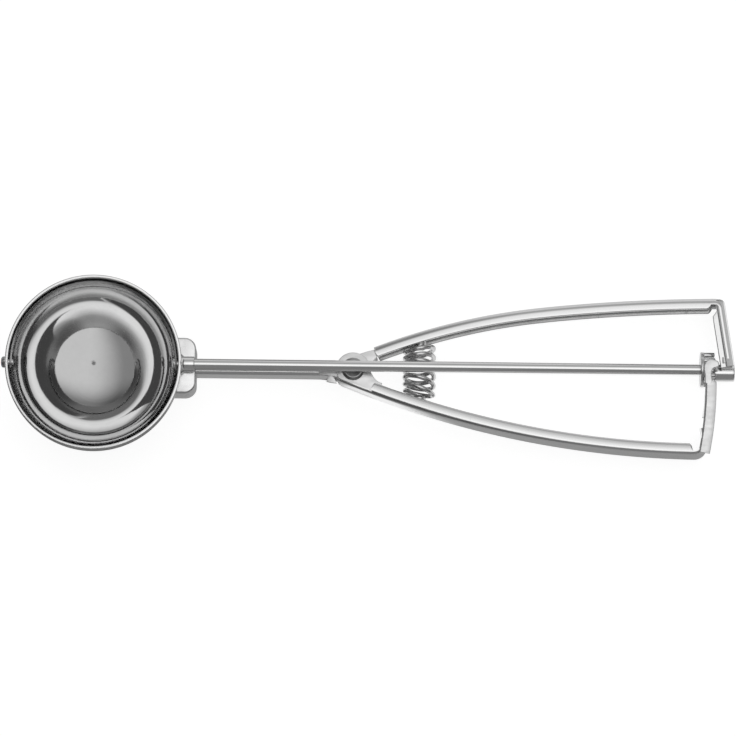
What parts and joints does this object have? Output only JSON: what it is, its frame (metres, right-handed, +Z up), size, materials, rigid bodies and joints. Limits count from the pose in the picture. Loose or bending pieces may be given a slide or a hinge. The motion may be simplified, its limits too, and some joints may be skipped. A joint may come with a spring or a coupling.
{
  "type": "lever ice cream scoop",
  "caption": "Stainless steel ice cream scoop with a hemispherical bowl, two sprung squeeze arms and a geared scraper band.",
  "frame": {"origin": "on the table under the middle of the tool, which lies on its bowl and the rear ends of its two arms", "axes": "+X points along the tool to the rear of the arms, +Y to the fixed arm, +Z up out of the bowl's opening"},
  "size_m": [0.2324, 0.0562, 0.0343],
  "materials": {
    "bowl_steel": "polished outside, satin inside",
    "bracket_steel": "satin",
    "handle_steel": "polished sheet",
    "rivet_steel": "turned",
    "spring_steel": "drawn wire",
    "band_steel": "polished strip",
    "rod_steel": "polished rod"
  },
  "bodies": {
    "frame": {"bowl": "bowl_steel", "bowl_bracket": "bracket_steel", "shaft_sleeve": "bracket_steel", "upper_handle": "handle_steel", "pivot_rivet": "rivet_steel", "pivot_spacer": "rivet_steel", "near_shim": "rivet_steel", "far_shim": "rivet_steel", "rear_bush": "rivet_steel", "upper_spring_stud": "rivet_steel", "return_spring": "spring_steel"},
    "squeeze_lever": {"lower_handle": "handle_steel", "gear_rack": "handle_steel", "lower_spring_stud": "rivet_steel"},
    "scraper": {"scraper_band": "band_steel", "main_shaft": "rod_steel", "shaft_rivet_head": "rod_steel", "front_pin": "rivet_steel", "front_washer": "rivet_steel", "pinion_disc": "rivet_steel", "pinion_pins": "rod_steel"}
  },
  "joints": [
    {"name": "squeeze", "type": "hinge", "parent": "frame", "child": "squeeze_lever", "pos_m": [-0.00606, -0.00076, 0.00875], "axis": [0.1134, 0.0319, 0.993], "range_deg": [0, 7], "stiffness_Nm_per_rad": 0.7, "springref_deg": -20.05, "deforming": ["return_spring"]},
    {"name": "scraper_turn", "type": "hinge", "parent": "frame", "child": "scraper", "pos_m": [-0.0868, 0.00006, 0.02802], "axis": [-0.9935, 0, 0.1135], "range_deg": [0, 167]}
  ],
  "couplings": [
    {"joint": "scraper_turn", "follows": "squeeze", "ratio": 23.851}
  ]
}
